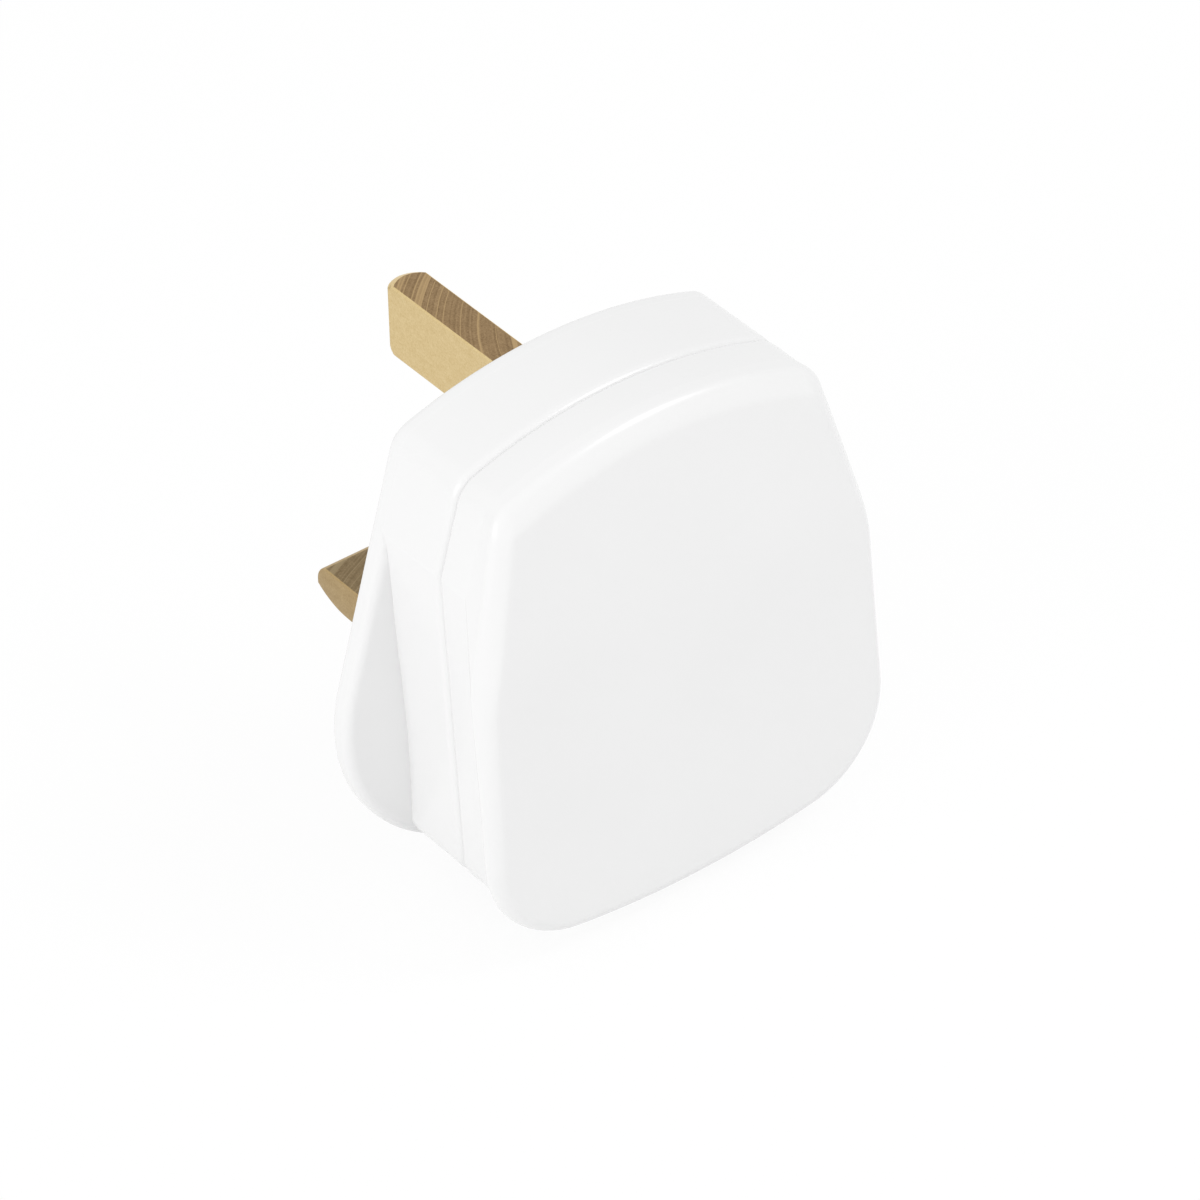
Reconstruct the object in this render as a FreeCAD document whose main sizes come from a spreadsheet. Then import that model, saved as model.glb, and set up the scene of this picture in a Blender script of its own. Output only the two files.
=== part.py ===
import FreeCAD, Part
import math
import os
import Sketcher

# Rewireable three pin plug. X runs across the plug, +Y along the pins and +Z up to the earth pin.
# The origin lies on the pin face, on the line through the two pole pins.

SIZES = {
    # Pins
    "pole_pitch": 22.2,
    "pole_width": 6.35,
    "pole_height": 4.0,
    "pole_length": 17.7,
    "pole_nose": 4.6,
    "pole_top_nose": 1.6,
    "pole_tip": 0.5,
    "earth_rise": 22.2,
    "earth_width": 4.0,
    "earth_height": 8.0,
    "earth_length": 22.73,
    "earth_tip_cut": 1,
    "nose_relief": 0.1,
    "sleeve_length": 9.5,
    "sleeve_wall": 0.5,
    # Outline shared by the housing pieces
    "top_rise": 32.3,
    "top_radius": 49,
    "shoulder_radius": 3.2,
    "kink_x": 20.3,
    "kink_z": 20,
    "flank_angle": 16.2,
    # Flange round the pin face
    "flange_thickness": 2.6,
    "flange_drop": 19.5,
    "flange_radius": 18,
    "flange_bottom_radius": 200,
    "flange_edge": 0.5,
    # Waist between the flange and the lip of the cover
    "waist_start": 1.2,
    "waist_angle": 2.4,
    "waist_bend": 0.8,
    "waist_corner": 2.8,
    "waist_drop": 17.6,
    "waist_bottom_radius": 90,
    "seam_depth": 10.4,
    "seam_edge": 0.5,
    # Cover with its flared lip and tilted front
    "crease_depth": 14.3,
    "lip_flare": 2.4,
    "lip_kink_z": 12.2,
    "lip_flank": 15.1,
    "lip_angle": 1.4,
    "lip_bend": 17,
    "lip_corner": 10.8,
    "lip_drop": 18.1,
    "lip_bottom_radius": 100,
    "lip_depth": 19.2,
    "lip_tilt": 6.2,
    "front_depth": 20.6,
    "front_tilt": 4,
    "front_edge": 1,
    "brow_edge": 2,
    "brow_tilt": 9.3,
    "brow_fold_z": 13.3,
    # Walls and clearances
    "wall": 2.2,
    "floor_wall": 3.2,
    "front_wall": 2.4,
    "inner_corner": 1,
    "fit": 0.05,
    "slot_gap": 0.1,
    # Cover screw
    "boss_z": 11,
    "boss_radius": 5,
    "screw_radius": 1.95,
    "screw_head_radius": 3.4,
    "screw_head_height": 2.6,
    "screw_seat": 3.6,
    "screw_length": 11.6,
    "screw_gap": 0.25,
    "slot_width": 0.9,
    "slot_depth": 1.1,
    "washer_radius": 3.6,
    "washer_thickness": 0.8,
    "nut_radius": 3,
    "nut_length": 5.6,
    "nut_well": 0.6,
    # Terminals
    "block_depth": 7,
    "earth_block_width": 7,
    "earth_block_height": 9.6,
    "neutral_block_width": 7.6,
    "neutral_block_height": 7,
    "live_block_width": 7,
    "live_block_height": 5.8,
    "block_gap": 0.4,
    "wire_hole_radius": 1.6,
    "wire_hole_rise": 2.7,
    "terminal_screw_radius": 1.5,
    "terminal_head_radius": 2.6,
    "terminal_head_height": 1.6,
    # Fuse and its clips
    "plate_thickness": 1.6,
    "plate_width": 8.4,
    "plate_margin": 1.5,
    "fuse_length": 25.4,
    "fuse_radius": 3.175,
    "fuse_middle": 6.5,
    "cap_length": 5.6,
    "cap_wall": 0.3,
    "cap_end": 0.4,
    "barrel_bore": 1.7,
    "element_radius": 0.25,
    "clip_thickness": 0.6,
    "clip_mouth": 4.6,
    "clip_foot": 7.2,
    # Cord entry and cord grip
    "entry_radius": 4.8,
    "entry_depth": 8.6,
    "post_radius": 2.9,
    "post_height": 5.4,
    "grip_length": 23,
    "grip_width": 5.4,
    "grip_end": 2.9,
    "grip_gap": 1,
    "grip_thickness": 2.4,
    "grip_arch": 1.6,
    "grip_screw_radius": 1.4,
    "grip_screw_length": 5.6,
    "saddle_pitch": 4,
    "saddle_length": 8,
    "saddle_width": 1.2,
    "saddle_height": 1,
}

Vector = FreeCAD.Vector
START, END, CENTRE = range(1, 4)
LINES = ("lower", "flank")
SIDES = (-1, 1)
TINY = 1e-4

doc = FreeCAD.newDocument("three_pin_plug")
sheet = doc.addObject("Spreadsheet::Sheet", "dims")
for row, (alias, size) in enumerate(SIZES.items(), start=1):
    sheet.set(f"A{row}", alias)
    sheet.set(f"B{row}", str(size))
    sheet.setAlias(f"B{row}", alias)
doc.recompute()

parts = []


def value(expression):
    return float(sheet.evalExpression(expression))


# Sketches, pads and pockets

def new_body(label):
    body = doc.addObject("PartDesign::Body", label)
    body.Label = label
    parts.append(body)
    return body


def new_sketch(body, name, role, offset="0"):
    sketch = body.newObject("Sketcher::SketchObject", f"{body.Name}_{name}")
    plane = next(item for item in body.Origin.OriginFeatures if item.Role == role)
    sketch.AttachmentSupport = [(plane, "")]
    sketch.MapMode = "FlatFace"
    sketch.setExpression("AttachmentOffset.Base.z", offset)
    return sketch


def bind(sketch, expression, kind, *where):
    index = sketch.addConstraint(Sketcher.Constraint(kind, *where, value(expression)))
    sketch.setExpression(f"Constraints[{index}]", expression)


def arc_between(start, end, radius):
    """Counter-clockwise arc of the given radius from start to end, the shorter way round."""
    chord = end - start
    height = math.sqrt(max(radius ** 2 - chord.Length ** 2 / 4, 0))
    left = Vector(-chord.y, chord.x, 0).normalize()
    centre = (start + end) / 2 + left * height
    return arc_about(centre, radius, start, end)


def arc_about(centre, radius, start, end):
    first = math.atan2(start.y - centre.y, start.x - centre.x)
    last = math.atan2(end.y - centre.y, end.x - centre.x)
    return Part.ArcOfCircle(Part.Circle(centre, Vector(0, 0, 1), radius), first, last)


def add_profile(sketch, corners):
    """Closed outline. A corner is (x, y), or (x, y, radius) where an arc runs from it to the next."""
    points = [Vector(value(corner[0]), value(corner[1]), 0) for corner in corners]
    first = sketch.GeometryCount
    count = len(corners)
    for index, corner in enumerate(corners):
        start, end = points[index], points[(index + 1) % count]
        if len(corner) == 3:
            sketch.addGeometry(arc_between(start, end, value(corner[2])), False)
        else:
            sketch.addGeometry(Part.LineSegment(start, end), False)
    for index, corner in enumerate(corners):
        here, following = first + index, first + (index + 1) % count
        sketch.addConstraint(Sketcher.Constraint("Coincident", here, END, following, START))
        bind(sketch, corner[0], "DistanceX", here, START)
        bind(sketch, corner[1], "DistanceY", here, START)
        if len(corner) == 3:
            bind(sketch, corner[2], "Radius", here)


def add_rectangle(sketch, centre_x, centre_y, width, height):
    left, right = f"{centre_x} - ({width}) / 2", f"{centre_x} + ({width}) / 2"
    low, high = f"{centre_y} - ({height}) / 2", f"{centre_y} + ({height}) / 2"
    add_profile(sketch, [(left, low), (right, low), (right, high), (left, high)])


def add_circle(sketch, centre_x, centre_y, radius):
    centre = Vector(value(centre_x), value(centre_y), 0)
    index = sketch.addGeometry(Part.Circle(centre, Vector(0, 0, 1), value(radius)), False)
    bind(sketch, centre_x, "DistanceX", index, CENTRE)
    bind(sketch, centre_y, "DistanceY", index, CENTRE)
    bind(sketch, radius, "Radius", index)


def pad(body, sketch, length, toward_pins=False, symmetric=False):
    feature = body.newObject("PartDesign::Pad", f"{sketch.Name}_pad")
    feature.Profile = sketch
    feature.Reversed = toward_pins
    if symmetric:
        feature.SideType = "Symmetric"
    feature.setExpression("Length", length)
    doc.recompute()
    return feature


def pocket(body, sketch, length=None, reverse=False, symmetric=False, direction=None):
    before = body.Shape.Volume
    feature = body.newObject("PartDesign::Pocket", f"{sketch.Name}_pocket")
    feature.Profile = sketch
    feature.Reversed = reverse
    if symmetric:
        feature.SideType = "Symmetric"
    if direction is not None:
        feature.UseCustomVector = True
        feature.Direction = direction
    if length is None:
        feature.Type = "ThroughAll"
    else:
        feature.setExpression("Length", length)
    doc.recompute()
    if body.Shape.Volume >= before:
        raise RuntimeError(f"{feature.Name} cuts nothing")
    return feature


def bevel_edges(body, base, depths, size):
    """Bevel the edges that lie flat at these depths behind the pin face."""
    planes = [-value(depth) for depth in depths]
    names = []
    for index, edge in enumerate(base.Shape.Edges, start=1):
        flat = edge.BoundBox.YLength < TINY
        if flat and any(abs(edge.CenterOfMass.y - plane) < TINY for plane in planes):
            names.append(f"Edge{index}")
    feature = body.newObject("PartDesign::Chamfer", f"{base.Name}_bevel")
    feature.Base = (base, names)
    feature.setExpression("Size", size)
    doc.recompute()
    return feature


# Shield outline: a wide arc on top, straight flanks, rounded corners and an arc at the bottom

def shield_points(top, top_radius, shoulder, kink, flank, bend, lower, corner, drop, bottom_radius):
    """Tangent points and arc centres of the right half, from the bottom corner up to the shoulder."""
    flank_out = Vector(math.cos(flank), math.sin(flank), 0)
    flank_up = Vector(-math.sin(flank), math.cos(flank), 0)
    lower_out = Vector(math.cos(lower), math.sin(lower), 0)
    lower_down = Vector(math.sin(lower), -math.cos(lower), 0)
    top_centre = Vector(0, top - top_radius, 0)
    bottom_centre = Vector(0, bottom_radius - drop, 0)
    shoulder_centre = on_ray(kink - flank_out * shoulder, flank_up, top_centre, top_radius - shoulder)
    corner_centre = on_ray(kink - lower_out * corner, lower_down, bottom_centre, bottom_radius - corner)
    reach = bend * math.tan((flank - lower) / 2)
    return {
        "corner_start": corner_centre + (corner_centre - bottom_centre).normalize() * corner,
        "corner_centre": corner_centre,
        "corner_end": corner_centre + lower_out * corner,
        "bend_start": kink + lower_down * reach,
        "bend_centre": kink + flank_up * reach - flank_out * bend,
        "bend_end": kink + flank_up * reach,
        "shoulder_start": shoulder_centre + flank_out * shoulder,
        "shoulder_centre": shoulder_centre,
        "shoulder_end": shoulder_centre + (shoulder_centre - top_centre).normalize() * shoulder,
        "top_centre": top_centre,
        "bottom_centre": bottom_centre,
    }


def on_ray(start, direction, centre, distance):
    """Point of the ray from start that lies at the given distance from the centre."""
    offset = start - centre
    along = offset.dot(direction)
    return start + direction * (math.sqrt(along ** 2 - offset.dot(offset) + distance ** 2) - along)


def mirrored(point):
    return Vector(-point.x, point.y, 0)


def add_shield(sketch, spec):
    """Draw the outline counter-clockwise, tangent all round, and bind it to the expressions in spec."""
    names = ["corner", "flank", "shoulder"]
    if "bend" in spec:
        names[1:1] = ["lower", "bend"]
    size = {name: value(expression) for name, expression in spec.items()}
    kink = Vector(size["kink_x"], size["kink_z"], 0)
    flank = math.radians(size["flank"])
    lower = math.radians(size.get("lower", size["flank"]))
    point = shield_points(size["top"], size["top_radius"], size["shoulder"], kink, flank, size.get("bend", 0),
                          lower, size["corner"], size["drop"], size["bottom_radius"])
    ends = {name: (point[f"{name}_start"], point[f"{name}_end"]) for name in names if name not in LINES}
    for place, name in enumerate(names):
        if name in LINES:
            ends[name] = (ends[names[place - 1]][1], ends[names[place + 1]][0])

    def piece(name, turned):
        start, end = ends[name]
        if turned:
            start, end = mirrored(end), mirrored(start)
        if name in LINES:
            return Part.LineSegment(start, end)
        centre = point[f"{name}_centre"]
        return arc_about(mirrored(centre) if turned else centre, size[name], start, end)

    low, high = point["corner_start"], point["shoulder_end"]
    geometry = [arc_about(point["bottom_centre"], size["bottom_radius"], mirrored(low), low)]
    geometry += [piece(name, False) for name in names]
    geometry += [arc_about(point["top_centre"], size["top_radius"], high, mirrored(high))]
    geometry += [piece(name, True) for name in reversed(names)]
    sketch.addGeometry(geometry, False)
    count = len(geometry)
    bottom, top = 0, len(names) + 1
    for index in range(count):
        sketch.addConstraint(Sketcher.Constraint("Tangent", index, END, (index + 1) % count, START))
    for index in (bottom, top):
        bind(sketch, "0", "DistanceX", index, CENTRE)
    bind(sketch, f"{spec['bottom_radius']} - ({spec['drop']})", "DistanceY", bottom, CENTRE)
    bind(sketch, f"{spec['top']} - ({spec['top_radius']})", "DistanceY", top, CENTRE)
    bind(sketch, spec["bottom_radius"], "Radius", bottom)
    bind(sketch, spec["top_radius"], "Radius", top)
    for side in (1, -1):
        corner = sketch.addGeometry(Part.Point(Vector(side * kink.x, kink.y, 0)), True)
        bind(sketch, f"{side} * ({spec['kink_x']})", "DistanceX", corner, START)
        bind(sketch, spec["kink_z"], "DistanceY", corner, START)
        for place, name in enumerate(names, start=1):
            index = place if side > 0 else count - place
            if name in LINES:
                sketch.addConstraint(Sketcher.Constraint("PointOnObject", corner, START, index))
                bind_angle(sketch, f"{side} * (90 + {spec[name]})", index)
            else:
                bind(sketch, spec[name], "Radius", index)


def bind_angle(sketch, degrees, line):
    index = sketch.addConstraint(Sketcher.Constraint("Angle", line, math.radians(value(degrees))))
    sketch.setExpression(f"Constraints[{index}]", f"({degrees}) * 1 deg")


# Housing outlines: the flange, the waist, the lip of the cover and the hollow inside the walls

FLANK = {
    "top": "dims.top_rise",
    "top_radius": "dims.top_radius",
    "shoulder": "dims.shoulder_radius",
    "kink_x": "dims.kink_x",
    "kink_z": "dims.kink_z",
    "flank": "dims.flank_angle",
}
FLANGE = FLANK | {
    "corner": "dims.flange_radius",
    "drop": "dims.flange_drop",
    "bottom_radius": "dims.flange_bottom_radius",
}
WAIST = FLANK | {
    "bend": "dims.waist_bend",
    "lower": "-dims.waist_angle",
    "corner": "dims.waist_corner",
    "drop": "dims.waist_drop",
    "bottom_radius": "dims.waist_bottom_radius",
}
LIP = FLANK | {
    "kink_x": "dims.kink_x + dims.lip_flare",
    "kink_z": "dims.lip_kink_z",
    "flank": "dims.lip_flank",
    "bend": "dims.lip_bend",
    "lower": "dims.lip_angle",
    "corner": "dims.lip_corner",
    "drop": "dims.lip_drop",
    "bottom_radius": "dims.lip_bottom_radius",
}


def inset(spec, size):
    """The same outline, drawn in by this much all round."""
    changes = {name: f"{spec[name]} - {size}" for name in spec if name not in ("kink_z", "flank", "lower")}
    return spec | changes


FRONT = inset(LIP, "dims.front_edge") | {"top": "dims.top_rise - dims.brow_edge"}
HOLLOW = inset(WAIST, "dims.wall") | {
    "shoulder": "dims.inner_corner",
    "bend": "dims.waist_bend",
    "corner": "dims.inner_corner",
}

# Places shared by several pieces
POLE_X = "dims.pole_pitch / 2"
EARTH_Z = "dims.earth_rise"
BLOCK_TOP = "dims.floor_wall + dims.block_depth"
PLATE_TOP = "dims.floor_wall + dims.plate_thickness"
CLIP_BORE = "dims.fuse_radius + dims.fit"
FUSE_DEPTH = f"{PLATE_TOP} + dims.clip_thickness + {CLIP_BORE}"
FUSE_BOTTOM = "(dims.fuse_middle - dims.fuse_length / 2)"
FUSE_TOP = "(dims.fuse_middle + dims.fuse_length / 2)"
BOSS_TOP = "dims.seam_depth - dims.washer_thickness"
POST_TOP = "dims.floor_wall + dims.post_height"
POST_X = "(dims.grip_length / 2 - dims.grip_end)"
POST_Z = f"({FUSE_BOTTOM} - dims.grip_gap - dims.grip_width / 2)"
GRIP_TOP = f"{POST_TOP} + dims.grip_thickness"
LIVE_BLOCK_Z = f"{FUSE_TOP} + dims.block_gap + dims.live_block_height / 2"


# Housing

def make_base():
    body = new_body("base")
    sketch = new_sketch(body, "flange", "XZ_Plane")
    add_shield(sketch, FLANGE)
    flange = pad(body, sketch, "dims.flange_thickness")
    bevel_edges(body, flange, ("0", "dims.flange_thickness"), "dims.flange_edge")
    sketch = new_sketch(body, "waist", "XZ_Plane", "dims.waist_start")
    add_shield(sketch, WAIST)
    waist = pad(body, sketch, "dims.seam_depth - dims.waist_start")
    bevel_edges(body, waist, ("dims.seam_depth",), "dims.seam_edge")
    sketch = new_sketch(body, "hollow", "XZ_Plane", "dims.seam_depth")
    add_shield(sketch, HOLLOW)
    pocket(body, sketch, "dims.seam_depth - dims.floor_wall")
    add_base_bosses(body)
    cut_base_holes(body)


def add_base_bosses(body):
    sketch = new_sketch(body, "boss", "XZ_Plane", "dims.floor_wall")
    add_circle(sketch, "0", "dims.boss_z", "dims.boss_radius")
    pad(body, sketch, f"{BOSS_TOP} - dims.floor_wall")
    sketch = new_sketch(body, "posts", "XZ_Plane", "dims.floor_wall")
    for side in SIDES:
        add_circle(sketch, f"{side} * {POST_X}", POST_Z, "dims.post_radius")
    pad(body, sketch, "dims.post_height")
    sketch = new_sketch(body, "saddle", "XZ_Plane", "dims.floor_wall")
    for side in SIDES:
        rib_z = f"{POST_Z} + {side} * dims.saddle_pitch / 2"
        add_rectangle(sketch, "0", rib_z, "dims.saddle_length", "dims.saddle_width")
    pad(body, sketch, "dims.saddle_height")


def cut_base_holes(body):
    sketch = new_sketch(body, "slots", "XZ_Plane")
    add_rectangle(sketch, "0", EARTH_Z,
                  "dims.earth_width + 2 * dims.slot_gap", "dims.earth_height + 2 * dims.slot_gap")
    for side in SIDES:
        add_rectangle(sketch, f"{side} * {POLE_X}", "0",
                      "dims.pole_width + 2 * dims.slot_gap", "dims.pole_height + 2 * dims.slot_gap")
    pocket(body, sketch, "dims.floor_wall", reverse=True)
    sketch = new_sketch(body, "head_recess", "XZ_Plane")
    add_circle(sketch, "0", "dims.boss_z", "dims.screw_head_radius + dims.screw_gap")
    pocket(body, sketch, "dims.screw_seat", reverse=True)
    sketch = new_sketch(body, "screw_hole", "XZ_Plane")
    add_circle(sketch, "0", "dims.boss_z", "dims.screw_radius + dims.screw_gap")
    pocket(body, sketch, BOSS_TOP, reverse=True)
    sketch = new_sketch(body, "post_holes", "XZ_Plane", POST_TOP)
    for side in SIDES:
        add_circle(sketch, f"{side} * {POST_X}", POST_Z, "dims.grip_screw_radius + dims.fit")
    pocket(body, sketch, "dims.grip_screw_length - dims.grip_thickness + dims.nut_well")
    cut_cord_entry(body)


def cut_cord_entry(body):
    sketch = new_sketch(body, "entry", "XY_Plane")
    add_circle(sketch, "0", "-dims.entry_depth", "dims.entry_radius")
    pocket(body, sketch)


def make_cover():
    body = new_body("cover")
    sections = [
        new_sketch(body, "seam", "XZ_Plane", "dims.seam_depth"),
        new_sketch(body, "crease", "XZ_Plane", "dims.crease_depth"),
        tilted_sketch(body, "lip", "dims.lip_depth", "dims.lip_tilt"),
        tilted_sketch(body, "front", "dims.front_depth", "dims.front_tilt"),
    ]
    for sketch, outline in zip(sections, (WAIST, WAIST, LIP, FRONT)):
        add_shield(sketch, outline)
    doc.recompute()
    loft = body.newObject("PartDesign::AdditiveLoft", "cover_loft")
    loft.Profile = sections[0]
    loft.Sections = sections[1:]
    loft.Ruled = True
    doc.recompute()
    cut_brow(body)
    sketch = tilted_sketch(body, "hollow", "dims.front_depth - dims.front_wall", "dims.lip_tilt")
    add_shield(sketch, HOLLOW)
    pocket(body, sketch, "dims.front_depth", direction=Vector(0, 1, 0))
    sketch = new_sketch(body, "boss", "XZ_Plane", "dims.seam_depth")
    add_circle(sketch, "0", "dims.boss_z", "dims.boss_radius")
    pad(body, sketch, "dims.front_depth - dims.front_wall / 2 - dims.boss_z * tan(dims.front_tilt * 1 deg)"
                      " - dims.seam_depth")
    sketch = new_sketch(body, "nut_well", "XZ_Plane", "dims.seam_depth")
    add_circle(sketch, "0", "dims.boss_z", "dims.nut_radius + dims.fit")
    pocket(body, sketch, "dims.nut_length + dims.nut_well", reverse=True)
    cut_cord_entry(body)


def tilted_sketch(body, name, depth, tilt):
    """Sketch across the cover that lies deeper at the cord end than at the earth pin."""
    sketch = new_sketch(body, name, "XZ_Plane", depth)
    turn = FreeCAD.Rotation(Vector(-1, 0, 0), value(tilt))
    sketch.AttachmentOffset = FreeCAD.Placement(Vector(0, 0, value(depth)), turn)
    sketch.setExpression("AttachmentOffset.Rotation.Angle", f"{tilt} * 1 deg")
    return sketch


def cut_brow(body):
    """Upper part of the front, which leans back more than the lower part and meets it in a level fold."""
    fold = "-(dims.front_depth - dims.brow_fold_z * tan(dims.front_tilt * 1 deg))"
    high = "dims.top_rise + dims.wall"
    back = f"{fold} + ({high} - dims.brow_fold_z) * tan(dims.brow_tilt * 1 deg)"
    sketch = new_sketch(body, "brow", "YZ_Plane")
    add_profile(sketch, [(fold, "dims.brow_fold_z"), (back, high), (fold, high)])
    pocket(body, sketch, symmetric=True)


# Pins, sleeves and terminals

def add_terminal(body, centre_x, centre_z, width, height, wire_plane, wire_x):
    """Solid block on the floor with a hole for the wire and a screw hole that meets it."""
    sketch = new_sketch(body, "block", "XZ_Plane", "dims.floor_wall")
    add_rectangle(sketch, centre_x, centre_z, width, height)
    pad(body, sketch, "dims.block_depth")
    wire_depth = "-dims.floor_wall - dims.wire_hole_rise"
    sketch = new_sketch(body, "wire_hole", wire_plane, wire_x)
    if wire_plane == "XY_Plane":
        add_circle(sketch, centre_x, wire_depth, "dims.wire_hole_radius")
    else:
        add_circle(sketch, wire_depth, centre_z, "dims.wire_hole_radius")
    pocket(body, sketch, symmetric=True)
    sketch = new_sketch(body, "screw_hole", "XZ_Plane", BLOCK_TOP)
    add_circle(sketch, centre_x, centre_z, "dims.terminal_screw_radius")
    pocket(body, sketch, "dims.block_depth - dims.wire_hole_rise")


def make_earth_pin():
    body = new_body("earth_pin")
    half = "dims.earth_width / 2"
    nose = f"({half} + dims.nose_relief)"
    shoulder = f"dims.earth_length - {nose} + sqrt({nose}^2 - ({half})^2)"
    sketch = new_sketch(body, "shank", "XY_Plane", EARTH_Z)
    add_profile(sketch, [
        (f"-{half}", "-dims.floor_wall"),
        (half, "-dims.floor_wall"),
        (half, shoulder, nose),
        (f"-{half}", shoulder),
    ])
    pad(body, sketch, "dims.earth_height", symmetric=True)
    sketch = new_sketch(body, "tip_cut", "YZ_Plane")
    tip, start = "dims.earth_length", "dims.earth_length - dims.earth_tip_cut"
    high, low = "dims.earth_rise + dims.earth_height / 2", "dims.earth_rise - dims.earth_height / 2"
    add_profile(sketch, [(tip, f"{high} - dims.earth_tip_cut"), (tip, high), (start, high)])
    add_profile(sketch, [(start, low), (tip, low), (tip, f"{low} + dims.earth_tip_cut")])
    pocket(body, sketch, symmetric=True)
    add_terminal(body, "0", EARTH_Z, "dims.earth_block_width", "dims.earth_block_height", "XY_Plane", EARTH_Z)


def make_pole_pin(label, side):
    """Pin with a necked shank for its sleeve and a nose that is blunt above and long below."""
    body = new_body(label)
    centre = f"{side} * {POLE_X}"
    sketch = new_sketch(body, "neck", "XZ_Plane", "dims.floor_wall")
    add_rectangle(sketch, centre, "0",
                  "dims.pole_width - 2 * dims.sleeve_wall", "dims.pole_height - 2 * dims.sleeve_wall")
    pad(body, sketch, "dims.floor_wall + dims.sleeve_length", toward_pins=True)
    half = "dims.pole_height / 2"
    drop = f"({half} - dims.pole_tip)"
    tip, low, high = "dims.pole_length", "dims.pole_nose", "dims.pole_top_nose"
    low_curve, high_curve = (f"({nose}^2 + {drop}^2) / (2 * {drop})" for nose in (low, high))
    sketch = new_sketch(body, "blade", "YZ_Plane", centre)
    add_profile(sketch, [
        ("dims.sleeve_length", f"-{half}"),
        (f"{tip} - {low}", f"-{half}", low_curve),
        (tip, "-dims.pole_tip"),
        (tip, "dims.pole_tip", high_curve),
        (f"{tip} - {high}", half),
        ("dims.sleeve_length", half),
    ])
    pad(body, sketch, "dims.pole_width", symmetric=True)
    return body


def make_neutral_pin():
    body = make_pole_pin("neutral_pin", -1)
    add_terminal(body, f"-{POLE_X}", "0",
                 "dims.neutral_block_width", "dims.neutral_block_height", "XY_Plane", "0")


def make_live_pin():
    body = make_pole_pin("live_pin", 1)
    sketch = new_sketch(body, "plate", "XZ_Plane", "dims.floor_wall")
    high = "(dims.pole_height / 2 + dims.plate_margin)"
    add_rectangle(sketch, POLE_X, f"({FUSE_BOTTOM} + {high}) / 2", "dims.plate_width",
                  f"{high} - {FUSE_BOTTOM}")
    pad(body, sketch, "dims.plate_thickness")


def make_live_terminal():
    body = new_body("live_terminal")
    low, high = f"({FUSE_TOP} - dims.cap_length)", f"({LIVE_BLOCK_Z} + dims.live_block_height / 2)"
    sketch = new_sketch(body, "plate", "XZ_Plane", "dims.floor_wall")
    add_rectangle(sketch, POLE_X, f"({low} + {high}) / 2", "dims.live_block_width", f"{high} - {low}")
    pad(body, sketch, "dims.plate_thickness")
    add_terminal(body, POLE_X, LIVE_BLOCK_Z,
                 "dims.live_block_width", "dims.live_block_height", "YZ_Plane", POLE_X)


def make_sleeve(label, side):
    body = new_body(label)
    sketch = new_sketch(body, "ring", "XZ_Plane", "dims.floor_wall")
    for inset in ("0", "2 * dims.sleeve_wall"):
        add_rectangle(sketch, f"{side} * {POLE_X}", "0",
                      f"dims.pole_width - {inset}", f"dims.pole_height - {inset}")
    pad(body, sketch, "dims.floor_wall + dims.sleeve_length", toward_pins=True)


# Screws, washer and nut

def make_screw(body, centre_x, centre_z, seat, shank, length, head, height, head_toward_pins):
    """Slotted screw along Y with the underside of its head at the seat."""
    sketch = new_sketch(body, "shank", "XZ_Plane", seat)
    add_circle(sketch, centre_x, centre_z, shank)
    pad(body, sketch, length, toward_pins=not head_toward_pins)
    sketch = new_sketch(body, "head", "XZ_Plane", seat)
    add_circle(sketch, centre_x, centre_z, head)
    pad(body, sketch, height, toward_pins=head_toward_pins)
    top = f"{seat} - {height}" if head_toward_pins else f"{seat} + {height}"
    sketch = new_sketch(body, "slot", "XZ_Plane", top)
    add_rectangle(sketch, centre_x, centre_z, f"2 * ({head}) + dims.slot_width", "dims.slot_width")
    pocket(body, sketch, "dims.slot_depth", reverse=head_toward_pins)


def make_terminal_screws():
    places = {
        "earth_terminal_screw": ("0", EARTH_Z),
        "neutral_terminal_screw": (f"-{POLE_X}", "0"),
        "live_terminal_screw": (POLE_X, LIVE_BLOCK_Z),
    }
    for label, (centre_x, centre_z) in places.items():
        make_screw(new_body(label), centre_x, centre_z, BLOCK_TOP, "dims.terminal_screw_radius - dims.fit",
                   "dims.block_depth - dims.wire_hole_rise", "dims.terminal_head_radius",
                   "dims.terminal_head_height", False)


def make_ring(label, depth, outer, length):
    body = new_body(label)
    sketch = new_sketch(body, "ring", "XZ_Plane", depth)
    add_circle(sketch, "0", "dims.boss_z", outer)
    add_circle(sketch, "0", "dims.boss_z", "dims.screw_radius + dims.fit")
    pad(body, sketch, length)


def make_cover_screw():
    make_screw(new_body("cover_screw"), "0", "dims.boss_z", "dims.screw_seat", "dims.screw_radius",
               "dims.screw_length", "dims.screw_head_radius", "dims.screw_head_height", True)
    make_ring("cover_screw_washer", BOSS_TOP, "dims.washer_radius", "dims.washer_thickness")
    make_ring("cover_nut", "dims.seam_depth", "dims.nut_radius", "dims.nut_length")


# Cord grip

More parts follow.
